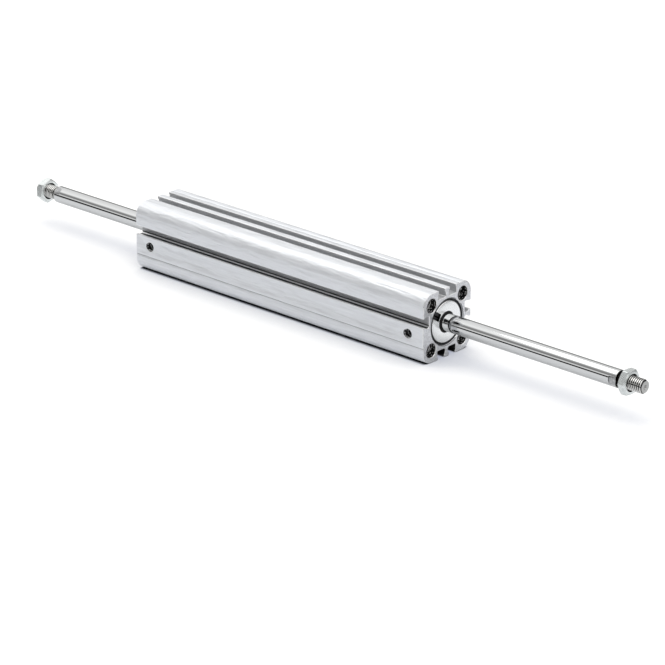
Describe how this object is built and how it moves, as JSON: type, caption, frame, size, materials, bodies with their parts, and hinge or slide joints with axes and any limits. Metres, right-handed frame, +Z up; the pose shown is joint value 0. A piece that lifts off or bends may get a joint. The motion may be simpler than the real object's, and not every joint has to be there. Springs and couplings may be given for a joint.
{
  "type": "pneumatic cylinder",
  "caption": "Compact pneumatic cylinder: slotted square aluminium barrel, a chromed rod right through it, threaded at both ends with jam nuts, and two air ports in the front.",
  "frame": {"origin": "centre of the barrel's underside, below the rod's axis", "axes": "+X along the rod to the end that stands further out, +Z up through the rod's axis, and the face with the air ports looks along -Y"},
  "size_m": [0.451, 0.04, 0.04],
  "materials": {
    "anodised_barrel": "satin clear anodised extrusion",
    "machined_cap": "fine turned, clear anodised",
    "piston_aluminium": "turned",
    "spring_steel": "phosphated spring steel",
    "chromed_rod": "hard chromed and polished",
    "zinc_plated_nut": "blue zinc plated",
    "bronze_bush": "sintered bronze",
    "nitrile_rubber": "moulded, matt",
    "wiper_rubber": "moulded, smooth",
    "buffer_rubber": "moulded, matt",
    "bonded_magnet": "plastic bonded ferrite",
    "guide_plastic": "filled PTFE strip"
  },
  "bodies": {
    "barrel_body": {"barrel": "anodised_barrel", "right_bearing_cap": "machined_cap", "left_bearing_cap": "machined_cap", "right_cap_o_ring": "nitrile_rubber", "left_cap_o_ring": "nitrile_rubber", "right_circlip": "spring_steel", "left_circlip": "spring_steel", "right_rod_wiper": "wiper_rubber", "left_rod_wiper": "wiper_rubber", "right_rod_seal": "nitrile_rubber", "left_rod_seal": "nitrile_rubber", "right_rod_bush": "bronze_bush", "left_rod_bush": "bronze_bush", "right_buffer": "buffer_rubber", "left_buffer": "buffer_rubber"},
    "piston_seals": {"guide_ring": "guide_plastic", "right_piston_seal": "nitrile_rubber", "left_piston_seal": "nitrile_rubber"},
    "rod_body": {"right_piston_half": "piston_aluminium", "left_piston_half": "piston_aluminium", "piston_o_ring": "nitrile_rubber", "magnet_ring": "bonded_magnet", "right_rod": "chromed_rod", "left_rod": "chromed_rod", "right_jam_nut": "zinc_plated_nut", "left_jam_nut": "zinc_plated_nut"}
  },
  "joints": [
    {"name": "piston_slide", "type": "slide", "parent": "barrel_body", "child": "piston_seals", "axis": [1, 0, 0], "range_m": [-0.1045, 0.0705]},
    {"name": "rod_turn", "type": "hinge", "parent": "piston_seals", "child": "rod_body", "pos_m": [0.017, 0, 0.02], "axis": [1, 0, 0], "continuous": true}
  ]
}
